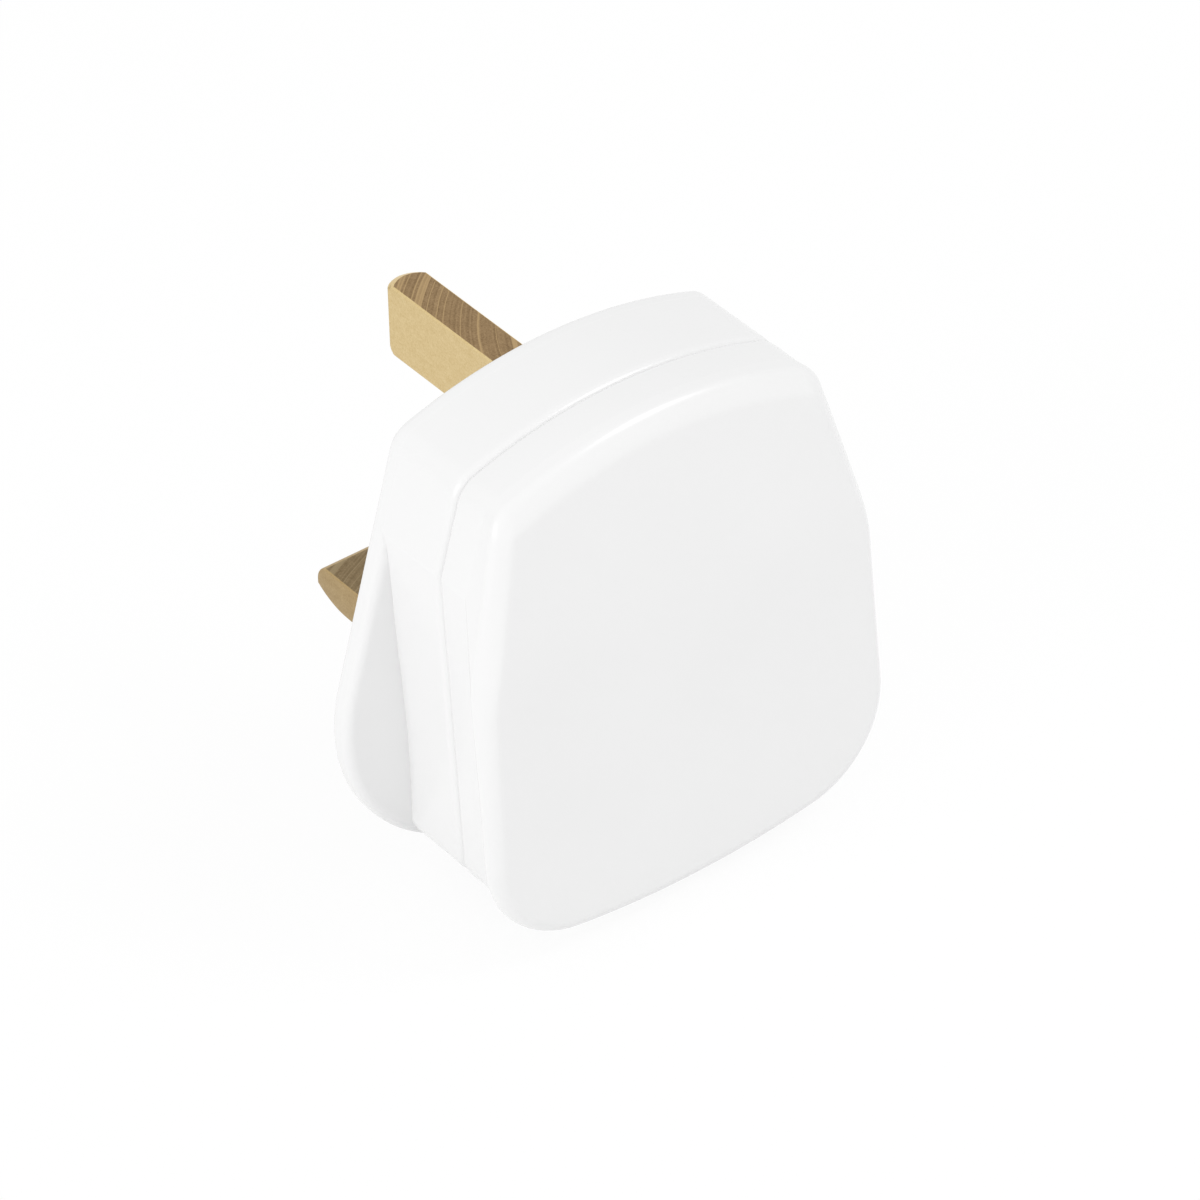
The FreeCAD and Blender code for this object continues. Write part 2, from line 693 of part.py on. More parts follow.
def make_cord_grip():
    body = new_body("cord_grip_bar")
    under, thick = f"(-({POST_TOP}))", "dims.grip_thickness"
    end, spread = "dims.grip_length / 2", f"{thick} / 2"
    foot = f"({POST_X} - dims.terminal_head_radius - dims.block_gap - {spread})"
    flat = f"({foot} - dims.grip_arch)"
    corners = [
        (end, under),
        (foot, under),
        (flat, f"{under} - dims.grip_arch"),
    ]
    over = [
        (f"{flat} + {spread}", f"{under} - dims.grip_arch - {thick}"),
        (f"{foot} + {spread}", f"{under} - {thick}"),
        (end, f"{under} - {thick}"),
    ]
    sketch = new_sketch(body, "strap", "XY_Plane", POST_Z)
    left = [(f"-({x})", y) for x, y in corners + over]
    add_profile(sketch, left[3:][::-1] + over + corners + left[:3][::-1])
    pad(body, sketch, "dims.grip_width", symmetric=True)
    sketch = new_sketch(body, "holes", "XZ_Plane", GRIP_TOP)
    for side in SIDES:
        add_circle(sketch, f"{side} * {POST_X}", POST_Z, "dims.grip_screw_radius + dims.screw_gap")
    pocket(body, sketch, thick)
    screws = []
    for name, side in (("left", -1), ("right", 1)):
        screw = doc.addObject("PartDesign::Body", f"grip_screw_{name}")
        make_screw(screw, f"{side} * {POST_X}", POST_Z, GRIP_TOP, "dims.grip_screw_radius",
                   "dims.grip_screw_length", "dims.terminal_head_radius", "dims.terminal_head_height", False)
        screws.append(screw)
    group = doc.addObject("Part::Compound", "cord_grip_screws")
    group.Label = "cord_grip_screws"
    group.Links = screws
    parts.append(group)


# Fuse and its clips

def solid(kind, name, sizes, place):
    item = doc.addObject(kind, name)
    for prop, expression in sizes.items():
        item.setExpression(prop, expression)
    for axis, expression in zip("xyz", place):
        item.setExpression(f"Placement.Base.{axis}", expression)
    return item


def fuse_cylinder(name, radius, start, length):
    place = (POLE_X, f"-({FUSE_DEPTH})", start)
    return solid("Part::Cylinder", name, {"Radius": radius, "Height": length}, place)


def cut(label, base, tool):
    item = doc.addObject("Part::Cut", label)
    item.Label = label
    item.Base = base
    item.Tool = tool
    return item


def make_fuse():
    inner = "dims.fuse_radius - dims.cap_wall"
    length = "dims.fuse_length - 2 * dims.cap_end"
    bottom = f"{FUSE_BOTTOM} + dims.cap_end"
    barrel = fuse_cylinder("barrel_wall", f"{inner} - dims.fit", bottom, length)
    bore = fuse_cylinder("barrel_bore", "dims.barrel_bore", bottom, length)
    parts.append(cut("fuse_barrel", barrel, bore))
    element = fuse_cylinder("fuse_element", "dims.element_radius", bottom, length)
    element.Label = "fuse_element"
    parts.append(element)
    starts = {
        "lower": (FUSE_BOTTOM, bottom),
        "upper": (f"{FUSE_TOP} - dims.cap_length", f"{FUSE_TOP} - dims.cap_length"),
    }
    for name, (start, well) in starts.items():
        shell = fuse_cylinder(f"{name}_cap_shell", "dims.fuse_radius", start, "dims.cap_length")
        core = fuse_cylinder(f"{name}_cap_core", inner, well, "dims.cap_length - dims.cap_end")
        parts.append(cut(f"{name}_fuse_cap", shell, core))
        make_clip(name, start)


def make_clip(name, start):
    """Folded spring clip: a flat foot on its plate and two arms that wrap round the fuse cap."""
    outer = f"{CLIP_BORE} + dims.clip_thickness"
    wrap = fuse_cylinder(f"{name}_clip_wrap", outer, start, "dims.cap_length")
    foot = solid("Part::Box", f"{name}_clip_foot",
                 {"Length": "dims.clip_foot", "Width": "dims.clip_thickness", "Height": "dims.cap_length"},
                 (f"{POLE_X} - dims.clip_foot / 2", f"-({PLATE_TOP}) - dims.clip_thickness", start))
    whole = doc.addObject("Part::Fuse", f"{name}_clip_whole")
    whole.Base = wrap
    whole.Tool = foot
    bore = fuse_cylinder(f"{name}_clip_bore", CLIP_BORE, start, "dims.cap_length")
    ring = cut(f"{name}_clip_ring", whole, bore)
    mouth = solid("Part::Box", f"{name}_clip_mouth",
                  {"Length": "dims.clip_mouth", "Width": f"2 * ({outer})", "Height": "dims.cap_length"},
                  (f"{POLE_X} - dims.clip_mouth / 2", f"-({FUSE_DEPTH}) - 2 * ({outer})", start))
    parts.append(cut(f"{name}_fuse_clip", ring, mouth))


def write_parts():
    doc.recompute()
    broken = [item.Name for item in doc.Objects if "Invalid" in item.State or "Error" in item.State]
    if broken:
        raise RuntimeError(f"failed objects: {broken}")
    for item in parts:
        if item.Shape.isNull() or not item.Shape.isValid() or not item.Shape.Solids:
            raise RuntimeError(f"{item.Label} has no valid solid")
    os.makedirs("parts", exist_ok=True)
    for item in parts:
        item.Shape.exportStep(f"parts/{item.Label}.step")


make_base()
make_cover()
make_cover_screw()
make_earth_pin()
make_neutral_pin()
make_live_pin()
make_live_terminal()
for side, name in ((-1, "neutral"), (1, "live")):
    make_sleeve(f"{name}_pin_sleeve", side)
make_terminal_screws()
make_fuse()
make_cord_grip()
write_parts()
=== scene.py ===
import math

import bmesh
import bpy
import numpy as np
from mathutils import Matrix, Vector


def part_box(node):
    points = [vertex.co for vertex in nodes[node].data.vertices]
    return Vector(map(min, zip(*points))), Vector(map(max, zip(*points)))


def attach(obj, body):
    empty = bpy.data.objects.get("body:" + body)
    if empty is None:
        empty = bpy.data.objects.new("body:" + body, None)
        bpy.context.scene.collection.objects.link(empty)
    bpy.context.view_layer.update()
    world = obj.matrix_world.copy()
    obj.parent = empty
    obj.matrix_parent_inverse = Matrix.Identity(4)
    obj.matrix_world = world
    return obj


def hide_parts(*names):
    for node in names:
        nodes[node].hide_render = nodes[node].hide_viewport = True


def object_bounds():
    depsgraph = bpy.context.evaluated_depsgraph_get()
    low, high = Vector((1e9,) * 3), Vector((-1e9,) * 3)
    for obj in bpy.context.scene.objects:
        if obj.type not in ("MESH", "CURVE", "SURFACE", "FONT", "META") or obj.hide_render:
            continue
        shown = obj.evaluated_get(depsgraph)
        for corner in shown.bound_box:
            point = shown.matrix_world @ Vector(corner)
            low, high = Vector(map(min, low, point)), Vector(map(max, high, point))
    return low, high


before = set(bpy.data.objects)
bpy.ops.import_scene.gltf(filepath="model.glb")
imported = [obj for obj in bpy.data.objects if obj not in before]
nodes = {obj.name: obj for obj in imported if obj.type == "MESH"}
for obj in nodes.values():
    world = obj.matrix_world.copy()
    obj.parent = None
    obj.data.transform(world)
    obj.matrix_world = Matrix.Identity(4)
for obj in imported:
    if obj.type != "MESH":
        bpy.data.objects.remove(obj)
cad_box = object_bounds()

# Lengths are in millimetres until a mesh is made. The axes are those of the solids: X across the plug,
# +Y along the pins, +Z up to the earth pin, with the origin on the pin face.
MM = 0.001


def solid_box(node):
    """Lowest and highest corner of a node's solid, in millimetres to a thousandth."""
    return [np.round(np.array(corner) / MM, 3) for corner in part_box(node)]


# A skin lies this far inside its solid, less at the seam, and the base's wall lies a step further in
SKIN, SEAM_SKIN, STEP = 0.03, 0.004, 0.012
# A narrow flat band beside a round keeps the shading of the face behind it flat
SUPPORT = 0.08
SMOOTH_BELOW = math.radians(26)
WELD = 2e-6
TINY = 1e-6

# Outlines of the case: a wide arc on top, straight flanks, rounded corners and an arc below. Flank and lower
# are the lean of the sides above and below the kink, in degrees.
BASE_LOW, BASE_HIGH = solid_box("base")
FLANK = {"top": BASE_HIGH[2], "top_radius": 49.0, "shoulder": 3.2, "kink": (20.3, 20.0), "flank": 16.2}
WAIST = FLANK | {"bend": 1.8, "lower": -2.4, "corner": 2.8, "drop": 17.6, "bottom_radius": 90.0}
LIP = FLANK | {
    "kink": (22.7, 12.2), "flank": 15.1, "bend": 17.0, "lower": 1.4, "corner": 10.8, "drop": 18.1,
    "bottom_radius": 100.0,
}
FLANGE = FLANK | {"bend": 0.0, "lower": 16.2, "corner": 18.0, "drop": 19.5, "bottom_radius": 200.0}
CASE_CENTRE = np.array([0.0, 6.0])

# Points on the seven arcs and lines of half an outline
ARC_STEPS = (22, 16, 26, 10, 16, 12, 22)
DENSE_STEPS = (300, 300, 300, 1, 300, 300, 300)

# Depths behind the pin face, the rounds between them, and tilts in degrees
FLANGE_THICKNESS, FLANGE_EDGE = 2.6, 0.92
SEAM, SEAM_EDGE, COVER_EDGE = -BASE_LOW[1], 0.9, 0.46
CREASE = 14.3
LIP_DEPTH, LIP_TILT = 19.2, 6.2
FRONT_DEPTH, FRONT_TILT = 20.6, 4.0
FRONT_EDGE, BROW_EDGE, RIM_REACH = 1.0, 2.0, 0.6
BROW_TILT, BROW_FOLD_Z, BROW_BLEND = 9.3, 13.3, 3.2

# Largest shares of the flange's shelf that its rear round and the flat band beside it take
SHELF_ROUND, SHELF_FLAT = 0.97, 0.01

# Finger scoop of the side walls: the height of its middle, how far it reaches from the flange to the seam,
# how far it runs up and down with the power of its bow there, and its depth, which grows downwards within
# two limits. A wall counts as a side wall where it faces sideways by this much, over a short blend.
SCOOP_MIDDLE, SCOOP_REACH = 3.0, 7.2
SCOOP_RISE, SCOOP_RISE_BOW = 14.2, 2.8
SCOOP_FALL, SCOOP_FALL_BOW = 17.0, 1.6
SCOOP_DEPTH, SCOOP_GROWTH, SCOOP_LEAST, SCOOP_MOST = 0.24, 0.028, 0.05, 0.6
SIDE_FACING, SIDE_BLEND = 0.9, 0.08

# Rings on the rounds, walls and front of the case
ROUND_RINGS, WALL_RINGS, NECK_RINGS, FLARE_RINGS, RIM_RINGS, FRONT_RINGS = 9, 24, 7, 12, 8, 26
FRONT_CENTRE_SHARE = 0.02


# Meshes

def make_piece(name, points, faces):
    """Object at the origin with these points, given in millimetres, and these faces."""
    mesh = bpy.data.meshes.new(name)
    mesh.from_pydata((np.asarray(points, float) * MM).tolist(), [], faces)
    mesh.update()
    piece = bpy.data.objects.new(name, mesh)
    bpy.context.scene.collection.objects.link(piece)
    return piece


def carried(name, rings):
    """Closed skin through rings of equal count: quads join each ring to the next, and a flat face closes
    each end."""
    rings = np.stack(rings)
    rows, around = rings.shape[:2]
    index = np.arange(rows * around).reshape(rows, around)
    after = np.roll(index, -1, axis=1)
    quads = np.stack([index[:-1], after[:-1], after[1:], index[1:]], axis=-1).reshape(-1, 4)
    faces = quads.tolist() + [index[0, ::-1].tolist(), index[-1].tolist()]
    piece = make_piece(name, rings.reshape(-1, 3), faces)
    turn_outward(piece.data)
    return piece


def turn_outward(mesh):
    """Turns all faces of a closed mesh to the outside."""
    work = bmesh.new()
    work.from_mesh(mesh)
    bmesh.ops.recalc_face_normals(work, faces=work.faces)
    work.to_mesh(mesh)
    work.free()


def merged_copy(node):
    """Copy of a node's loose triangles with their shared corners joined."""
    mesh = nodes[node].data.copy()
    work = bmesh.new()
    work.from_mesh(mesh)
    bmesh.ops.remove_doubles(work, verts=work.verts, dist=WELD)
    work.to_mesh(mesh)
    work.free()
    copy = bpy.data.objects.new(f"{node}_solid", mesh)
    bpy.context.scene.collection.objects.link(copy)
    return copy


def add_boolean(piece, operation, other):
    """Exact union or intersection of a piece with another closed mesh."""
    boolean = piece.modifiers.new(operation.lower(), "BOOLEAN")
    boolean.operation = operation
    boolean.solver = "EXACT"
    boolean.object = other


def dressed(node, skin, material, fill=None):
    """The node's solid inside a finer skin: what both hold, with soft edges from the skin and hollows from
    the solid. A fill is joined to the solid first."""
    solid = merged_copy(node)
    if fill:
        add_boolean(solid, "UNION", fill)
    add_boolean(skin, "INTERSECT", solid)
    depsgraph = bpy.context.evaluated_depsgraph_get()
    mesh = bpy.data.meshes.new_from_object(skin.evaluated_get(depsgraph))
    for spent in [skin, solid] + ([fill] if fill else []):
        bpy.data.objects.remove(spent)
    piece = bpy.data.objects.new(f"{node}_dressed", mesh)
    bpy.context.scene.collection.objects.link(piece)
    mesh.shade_smooth()
    mesh.set_sharp_from_angle(angle=SMOOTH_BELOW)
    mesh.materials.clear()
    mesh.materials.append(material)
    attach(piece, "root")
    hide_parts(node)
    return piece


# Outlines and rings

def on_ray(start, direction, centre, distance):
    """Point of the ray from start that lies at the given distance from the centre."""
    offset = start - centre
    along = offset @ direction
    return start + direction * (math.sqrt(along ** 2 - offset @ offset + distance ** 2) - along)


def arc(centre, radius, first, last, steps):
    """Points centre + radius (cos a, sin a) and their outward angles a, without the last one."""
    angle = first + (last - first) * np.arange(steps) / steps
    return centre + radius * np.stack([np.cos(angle), np.sin(angle)], 1), angle


def line(start, end, angle, steps):
    """Points start + t (end - start) for t from 0 to 1, without the last one, all facing the same way."""
    t = np.arange(steps)[:, None] / steps
    return start + t * (end - start), np.full(steps, angle)


def shield(spec, steps=ARC_STEPS):
    """Outline (x, z) and outward normals: seven arcs and lines in tangent from the lowest point up the right
    side to the top, then the same mirrored down the left side."""
    flank, lower = math.radians(spec["flank"]), math.radians(spec["lower"])
    flank_out = np.array([math.cos(flank), math.sin(flank)])
    flank_up = np.array([-math.sin(flank), math.cos(flank)])
    lower_out = np.array([math.cos(lower), math.sin(lower)])
    lower_down = np.array([math.sin(lower), -math.cos(lower)])
    kink = np.array(spec["kink"])
    top_radius, bottom_radius = spec["top_radius"], spec["bottom_radius"]
    shoulder, corner, bend = spec["shoulder"], spec["corner"], spec["bend"]
    top_centre = np.array([0.0, spec["top"] - top_radius])
    bottom_centre = np.array([0.0, bottom_radius - spec["drop"]])
    shoulder_centre = on_ray(kink - flank_out * shoulder, flank_up, top_centre, top_radius - shoulder)
    corner_centre = on_ray(kink - lower_out * corner, lower_down, bottom_centre, bottom_radius - corner)
    reach = bend * math.tan((flank - lower) / 2)
    low_angle = math.atan2(*(corner_centre - bottom_centre)[::-1])
    high_angle = math.atan2(*(shoulder_centre - top_centre)[::-1])
    bend_start, bend_end = kink + lower_down * reach, kink + flank_up * reach
    pieces = [
        arc(bottom_centre, bottom_radius, -math.pi / 2, low_angle, steps[0]),
        arc(corner_centre, corner, low_angle, lower, steps[1]),
        line(corner_centre + lower_out * corner, bend_start, lower, steps[2]),
        arc(bend_end - flank_out * bend, bend, lower, flank, steps[3]),
        line(bend_end, shoulder_centre + flank_out * shoulder, flank, steps[4]),
        arc(shoulder_centre, shoulder, flank, high_angle, steps[5]),
        arc(top_centre, top_radius, high_angle, math.pi / 2, steps[6]),
    ]
    points = np.vstack([piece[0] for piece in pieces] + [np.array([[0.0, spec["top"]]])])
    angle = np.concatenate([piece[1] for piece in pieces] + [np.array([math.pi / 2])])
    normals = np.stack([np.cos(angle), np.sin(angle)], 1)
    flip = np.array([-1.0, 1.0])
    return np.vstack([points, points[-2:0:-1] * flip]), np.vstack([normals, normals[-2:0:-1] * flip])


def flange_beside(points):
    """Flange outline at the polar angles, about the case's centre, that the given outline points have."""
    dense = shield(FLANGE, DENSE_STEPS)[0] - CASE_CENTRE
    angle, radius = np.arctan2(dense[:, 1], dense[:, 0]), np.hypot(dense[:, 0], dense[:, 1])
    order = np.argsort(angle)
    here = points - CASE_CENTRE
    polar = np.arctan2(here[:, 1], here[:, 0])
    reach = np.interp(polar, angle[order], radius[order], period=2 * math.pi)
    outline = CASE_CENTRE + reach[:, None] * np.stack([np.cos(polar), np.sin(polar)], 1)
    along = np.roll(outline, -1, axis=0) - np.roll(outline, 1, axis=0)
    normals = np.stack([along[:, 1], -along[:, 0]], 1)
    return outline, normals / np.linalg.norm(normals, axis=1, keepdims=True)


def level(outline, depth):
    """Ring in space: the outline (x, z) at this depth behind the pin face."""
    return np.stack([outline[:, 0], -np.broadcast_to(depth, len(outline)), outline[:, 1]], 1)


def tilted(outline, depth, tilt):
    """Ring in space: the outline (x, v) in a plane through depth at z 0 that leans back by tilt degrees."""
    lean, v = math.radians(tilt), outline[:, 1]
    return np.stack([outline[:, 0], -depth + v * math.sin(lean), v * math.cos(lean)], 1)


def quarter(steps):
    """Sine and cosine of angles from 0 to 90 degrees."""
    angle = np.linspace(0, math.pi / 2, steps)
    return zip(np.sin(angle), np.cos(angle))


def round_off(depth, radius):
    """What a quarter round takes off at this depth into it: r - sqrt(r^2 - d^2), and nothing before it."""
    return radius - np.sqrt(radius ** 2 - np.clip(depth, 0, radius) ** 2)


def parabola(start, control, end, t):
    """Point (1-t)^2 start + 2 t (1-t) control + t^2 end."""
    return (1 - t) ** 2 * start + 2 * t * (1 - t) * control + t ** 2 * end


# Case

def base_skin():
    """Flange and waist: the flange outline with a round at both rims, then the waist outline up to the seam.
    The rear round ends where it meets the waist, so that the shelf of the flange runs out softly. The side
    walls are scooped for the fingers."""
    waist, waist_out = shield(WAIST)
    flange, flange_out = flange_beside(waist)
    waist, flange = waist - (SKIN + STEP) * waist_out, flange - SKIN * flange_out
    gap = np.linalg.norm(flange - waist, axis=1)
    back, seam = FLANGE_THICKNESS - SKIN, SEAM - SEAM_SKIN
    rings = [level(flange - flange_out * (FLANGE_EDGE + SUPPORT), SKIN)]
    for sine, cosine in quarter(ROUND_RINGS):
        inset, depth = FLANGE_EDGE * (1 - sine), SKIN + FLANGE_EDGE * (1 - cosine)
        rings.append(level(flange - flange_out * inset, depth))
    turn = np.arccos(1 - np.minimum(SHELF_ROUND * gap / FLANGE_EDGE, 1))
    for share in np.linspace(0, 1, ROUND_RINGS):
        inset = FLANGE_EDGE * (1 - np.cos(turn * share))
        shelf = back - FLANGE_EDGE * (1 - np.sin(turn * share))
        rings.append(level(flange - flange_out * inset[:, None], shelf))
    inner = flange - flange_out * inset[:, None]
    toward = waist - inner
    distance = np.maximum(np.linalg.norm(toward, axis=1, keepdims=True), TINY)
    flat = np.minimum(SUPPORT, SHELF_FLAT * gap)[:, None]
    rings.append(level(inner + toward / distance * flat, shelf))
    for share in np.linspace(0, 1, WALL_RINGS):
        depth = shelf + (seam - SEAM_EDGE - shelf) * share
        rings.append(level(waist - waist_out * finger_scoop(waist, waist_out, depth)[:, None], depth))
    for sine, cosine in list(quarter(ROUND_RINGS))[1:]:
        rings.append(level(waist - waist_out * SEAM_EDGE * (1 - cosine), seam - SEAM_EDGE * (1 - sine)))
    rings.append(level(waist - waist_out * (SEAM_EDGE + SUPPORT), seam))
    return carried("base_skin", rings)


def finger_scoop(waist, waist_out, depth):
    """Depth of the finger scoop: it falls in a straight line to zero at a border that bows out almost to the
    seam, as 1 - |u|^n with a fuller bow above than below, it deepens downwards, and only the side walls have
    it."""
    z = waist[:, 1]
    above = np.clip((z - SCOOP_MIDDLE) / SCOOP_RISE, 0, 1) ** SCOOP_RISE_BOW
    below = np.clip((SCOOP_MIDDLE - z) / SCOOP_FALL, 0, 1) ** SCOOP_FALL_BOW
    border = FLANGE_THICKNESS + SCOOP_REACH * (1 - above - below)
    deepest = np.clip(SCOOP_DEPTH + SCOOP_GROWTH * (SCOOP_MIDDLE - z), SCOOP_LEAST, SCOOP_MOST)
    sideways = np.clip((np.abs(waist_out[:, 0]) - SIDE_FACING) / SIDE_BLEND, 0, 1)
    return deepest * sideways * np.clip((border - depth) / SCOOP_REACH, 0, 1)


def cover_skin():
    """Neck, flare and front: straight lines from the neck to the lip, a soft rim on two parabolas whose
    control points are the lip and the front border, and a front of two planes that blend in a level fold."""
    waist, waist_out = shield(WAIST)
    lip, lip_out = shield(LIP)
    waist, lip = waist - SKIN * waist_out, lip - SKIN * lip_out
    front_edge = FRONT_EDGE + (BROW_EDGE - FRONT_EDGE) * np.clip(lip_out[:, 1:], 0, 1)
    seam = SEAM + SEAM_SKIN
    crease = level(waist, CREASE)
    rim = tilted(lip, LIP_DEPTH - SKIN, LIP_TILT)
    border = on_front(lip - lip_out * front_edge)
    slope = np.linalg.norm(crease - rim, axis=1, keepdims=True)
    below = rim + (crease - rim) / slope * RIM_REACH
    inside = on_front(lip - lip_out * (front_edge + RIM_REACH))
    middle = (rim + border) / 2
    rings = [level(waist - waist_out * (COVER_EDGE + SUPPORT), seam)]
    for sine, cosine in quarter(NECK_RINGS):
        rings.append(level(waist - waist_out * COVER_EDGE * (1 - sine), seam + COVER_EDGE * (1 - cosine)))
    rings.append(level(waist, CREASE - SUPPORT))
    rings += [crease + (below - crease) * t for t in np.linspace(0, 1, FLARE_RINGS)]
    rings += [parabola(below, rim, middle, t) for t in np.linspace(0, 1, RIM_RINGS)[1:]]
    rings += [parabola(middle, border, inside, t) for t in np.linspace(0, 1, RIM_RINGS)[1:]]
    shrink = np.linspace(1, FRONT_CENTRE_SHARE, FRONT_RINGS)[1:, None, None]
    flat = np.stack([inside[:, 0], inside[:, 2]], 1)
    rings += [on_front(ring) for ring in CASE_CENTRE + (flat - CASE_CENTRE) * shrink]
    return carried("cover_skin", rings)


def on_front(outline):
    """Points (x, z) laid on the front: of two planes that lean back by different angles, the one nearer to
    the pins, blended by a parabola where they meet."""
    z = outline[:, 1]
    slope_low, slope_high = math.tan(math.radians(FRONT_TILT)), math.tan(math.radians(BROW_TILT))
    above = z - BROW_FOLD_Z
    blended = (above + BROW_BLEND) ** 2 / (4 * BROW_BLEND)
    soft = np.where(np.abs(above) < BROW_BLEND, blended, np.maximum(above, 0))
    y = -(FRONT_DEPTH - SKIN) + z * slope_low + soft * (slope_high - slope_low)
    return np.stack([outline[:, 0], y, z], 1)


# Pins, sleeves and the cover screw

EARTH_LOW, EARTH_HIGH = solid_box("earth_pin")
EARTH_LENGTH, EARTH_RISE = EARTH_HIGH[1], (EARTH_LOW[2] + EARTH_HIGH[2]) / 2
EARTH_HALF_WIDTH, EARTH_HALF_HEIGHT = 2.0, 4.0
NOSE_BULGE, BEVEL_RUN, BEVEL_DROP, TOE_RADIUS = 0.9, 0.85, 0.5, 1.0
# The soft edge of a blade, and the largest share of a section's half width that it takes
BLADE_EDGE, MOST_SOFT = 0.2, 0.6
# Stations along the earth blade before its nose: behind the pin face, along the faces, and where bevel and
# toe start
BLADE_STATIONS = np.concatenate([[-1.0, -0.9, 2.0, 8.0, 14.0, 19.5], np.linspace(20.75, 21.8, 15)])
# Points up each side of a section: on each soft edge, on the toe, at shares of its height, and one where the
# bevel starts. A slab with this many steps to a corner has as many points.
EDGE_POINTS, TOE_POINTS, FACE_SHARES = 8, 5, (-0.6, -0.25, 0.25, 0.7)
SECTION_STEPS = (2 * EDGE_POINTS + TOE_POINTS + len(FACE_SHARES) + 1) // 2
# The fill starts well behind the nose and lies this far inside the faces
FILL_START, FILL_INSET = 15.0, 0.01
# Stations along a nose: the first angle and the last one, in radians, and their count
FILL_NOSE, EARTH_NOSE, POLE_NOSE = (-0.1, 1.53, 24), (0.05, 1.5, 18), (0.15, 1.45, 12)

SLEEVE_LOW, SLEEVE_HIGH = solid_box("live_pin_sleeve")
POLE_X, SLEEVE_LENGTH = (SLEEVE_LOW[0] + SLEEVE_HIGH[0]) / 2, SLEEVE_HIGH[1]
POLE_HALF_WIDTH, POLE_HALF_HEIGHT = (SLEEVE_HIGH[0] - SLEEVE_LOW[0]) / 2, SLEEVE_HIGH[2]
POLE_LENGTH = solid_box("live_pin")[1][1]
POLE_TIP, POLE_TOP_NOSE, POLE_LOW_NOSE, LOW_NOSE_STEPS = 0.5, 1.6, 4.6, 8
# Stations of a pole pin past its sleeve's end: in the groove, at the groove's rim and along the faces
POLE_STATIONS = np.array([-0.01, 0.14, 0.25, 1.5])
GROOVE = 0.15
SLEEVE_SKIN, SLEEVE_EDGE = 0.015, 0.4
# Rounds at a sleeve's end and at the screw's head: pairs of distance before the end and inset
SLEEVE_ROUND = ((0.6, 0.0), (0.3, 0.02), (0.13, 0.08), (0.04, 0.18), (0.02, 0.3))
HEAD_ROUND = ((2.7, 0.01), (2.0, 0.01), (0.5, 0.01), (0.28, 0.07), (0.12, 0.22), (0.02, 0.5))

SCREW_LOW, SCREW_HIGH = solid_box("cover_screw")
SCREW_AXIS = np.array([0.0, 0.0, (SCREW_LOW[2] + SCREW_HIGH[2]) / 2])
SCREW_SEGMENTS, HEAD_HEIGHT = 64, 2.75

# Where a skin leaves the solid as it is, it passes clear of it: the half sizes and the stations of the wide
# rings round a pin's foot, the radius round the screw's shank, and how far a skin goes past a hidden end
EARTH_CLEAR, EARTH_FOOT = 8.0, (-12.0, -1.2, -1.1)
POLE_CLEAR_X, POLE_CLEAR_Z, POLE_FOOT = 7.0, 12.0, (-14.0, SLEEVE_LENGTH - 0.2, SLEEVE_LENGTH - 0.1)
CLEAR_EDGE, SHANK_CLEAR, END_CLEAR = 0.3, 6.0, 0.1
# A small distance at the tips: a pole pin's last ring and the ends of the earth pin's bevel and toe stand
# this far before them, and the earth pin's half width is at least this
TIP_GAP = 0.004
CORNER_STEPS = 6
# A pin's faces were sawn where they face up or down by more than this
SAWN_FACING = 0.95


def slab(centre_x, centre_z, y, half_x, half_z, radius, steps=CORNER_STEPS):
    """Ring at y: a rectangle with quarter rounds at its corners, about the given centre."""
    angle = np.linspace(0, math.pi / 2, steps)
    turn = np.concatenate([angle + k * math.pi / 2 for k in range(4)])
    sign_x, sign_z = np.repeat([1, -1, -1, 1], steps), np.repeat([1, 1, -1, -1], steps)
    x = centre_x + sign_x * (half_x - radius) + radius * np.cos(turn)
    z = centre_z + sign_z * (half_z - radius) + radius * np.sin(turn)
    return np.stack([x, np.full(len(x), y), z], 1)


def blunt(y, length, half):
    """Half width at y of a bar whose end is bowed on a circle: that of the circle, at most the bar's own."""
    radius = (half ** 2 + NOSE_BULGE ** 2) / (2 * NOSE_BULGE)
    return np.minimum(radius - round_off(y - (length - radius), radius), half)


def bow(y, length, nose, drop):
    """Drop of a face at y: a circle that leaves it in tangent where the nose starts and falls by drop at the
    tip."""
    return round_off(y - (length - nose), (nose ** 2 + drop ** 2) / (2 * drop))


def nose_stations(length, bulge, first, last, steps):
    """Places along a nose that come closer towards its tip: length - bulge (1 - sin a) for angles a."""
    return length - bulge * (1 - np.sin(np.linspace(first, last, steps)))


def earth_nose_fill():
    """Bar end with a bowed nose, a little inside the solid's faces and a little outside the skin, to fill
    the solid out to the skin's nose."""
    half, tall = EARTH_HALF_WIDTH - FILL_INSET, EARTH_HALF_HEIGHT - FILL_INSET
    length = EARTH_LENGTH - FILL_INSET
    y = np.append(FILL_START, nose_stations(length, NOSE_BULGE, *FILL_NOSE))
    across, up = np.array([1, 1, -1, -1]), np.array([-1, 1, 1, -1])
    rings = [np.stack([across * wide, np.full(4, at), EARTH_RISE + up * tall], 1)
             for at, wide in zip(y, blunt(y, length, half))]
    return carried("earth_nose_fill", rings)


